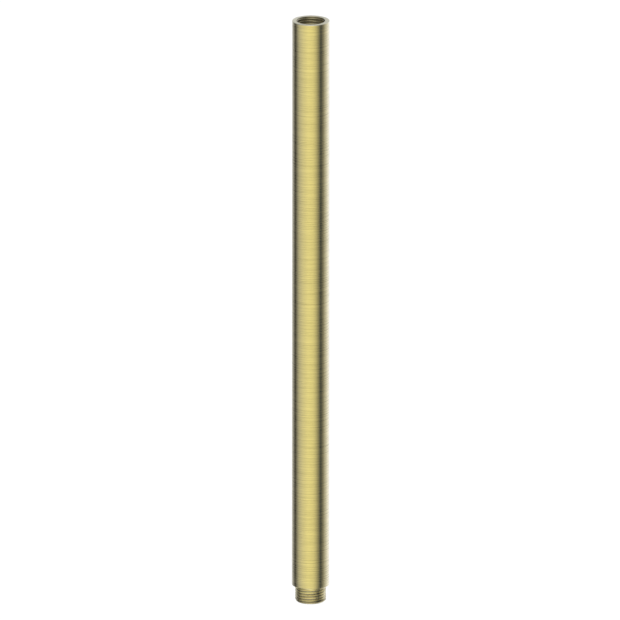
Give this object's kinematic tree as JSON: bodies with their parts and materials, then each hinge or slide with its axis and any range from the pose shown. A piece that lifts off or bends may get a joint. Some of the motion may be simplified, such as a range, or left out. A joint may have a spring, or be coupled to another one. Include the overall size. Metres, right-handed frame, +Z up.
{
  "type": "shower arm",
  "caption": "Straight ceiling shower arm: a heavy round brass tube with a tapped socket at the ceiling end and a threaded spigot for the shower head.",
  "frame": {"origin": "centre of the top rim, the face that meets the ceiling, on the waterway axis", "axes": "+Z up along the waterway, out of the tapped socket towards the ceiling; X and Y are free because the tube is round"},
  "size_m": [0.0254, 0.0254, 0.408],
  "materials": {
    "brushed_brass": "aged brass brushed round the tube, thin clear lacquer"
  },
  "bodies": {
    "root": {"arm_tube": "brushed_brass"}
  },
  "joints": []
}
